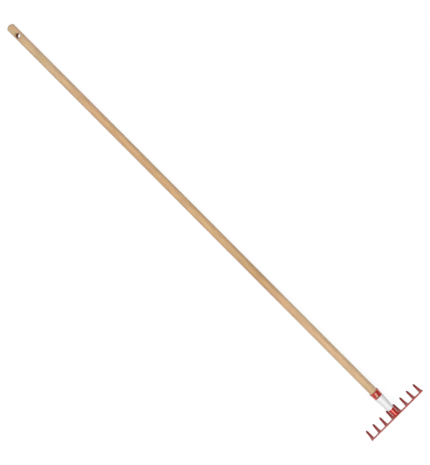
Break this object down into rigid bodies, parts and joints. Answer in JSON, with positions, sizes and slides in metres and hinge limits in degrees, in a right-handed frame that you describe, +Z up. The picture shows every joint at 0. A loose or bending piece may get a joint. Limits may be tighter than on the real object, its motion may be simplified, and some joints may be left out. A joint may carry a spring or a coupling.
{
  "type": "garden rake",
  "caption": "Garden rake with a round wooden handle, a tapered red steel socket with a bare label, and a stamped head of short curved tines.",
  "frame": {"origin": "centre of the footprint on the ground, with the rake lying tines down on its tine tips and its handle's free end", "axes": "+Z up, +Y along the handle towards the head, +X to the right seen from the handle's free end"},
  "size_m": [0.1954, 1.5062, 0.0705],
  "materials": {
    "handle_wood": "sanded, clear lacquer",
    "red_paint": "gloss enamel",
    "nail_steel": "bright zinc",
    "label_film": "satin white film"
  },
  "bodies": {
    "root": {"handle": "handle_wood", "socket": "red_paint", "tine_head": "red_paint", "weld_bead": "red_paint", "fixing_nail": "nail_steel", "label": "label_film"}
  },
  "joints": []
}
